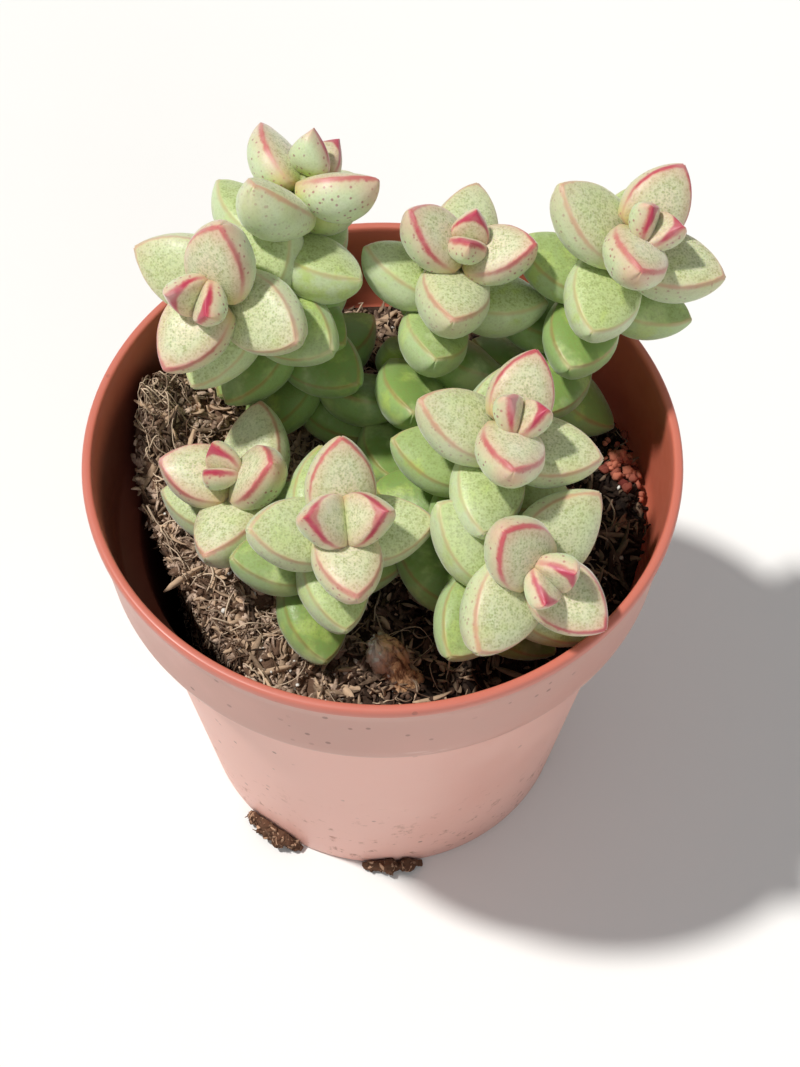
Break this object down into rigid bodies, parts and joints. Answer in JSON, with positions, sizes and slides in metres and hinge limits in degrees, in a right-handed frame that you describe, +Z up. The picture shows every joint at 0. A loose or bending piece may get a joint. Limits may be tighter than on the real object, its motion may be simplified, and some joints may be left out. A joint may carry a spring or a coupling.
{
  "type": "potted crassula brevifolia",
  "caption": "Young succulent in a tapered round nursery pot: stems of opposite keeled leaves with red margins stand in a rooted plug of soil.",
  "frame": {"origin": "centre of the pot's underside, on the surface the pot stands on", "axes": "+Z up out of the pot, +X to the right in the picture, -Y towards the picture's camera"},
  "size_m": [0.0887, 0.085, 0.1096],
  "materials": {
    "pot_plastic": "satin terracotta-coloured plastic, hazy with dust outside",
    "leaf": "waxy pale green skin with fine olive dots and a red margin line",
    "potting_soil": "rough dark fibrous mix with pale grains",
    "old_wood": "rough dry bark",
    "root_crust": "dry crust of earth and fine roots"
  },
  "bodies": {
    "root": {"pot": "pot_plastic", "old_stump": "old_wood", "leafy_stem_front": "leaf", "leafy_stem_middle_right": "leaf", "leafy_stem_low_right": "leaf", "leafy_stem_left": "leaf", "leafy_stem_low_left": "leaf", "leafy_stem_back": "leaf", "leafy_stem_right_back": "leaf", "leafy_stem_left_back": "leaf", "soil": "potting_soil", "root_crust_left": "root_crust", "root_crust_front": "root_crust"}
  },
  "joints": []
}
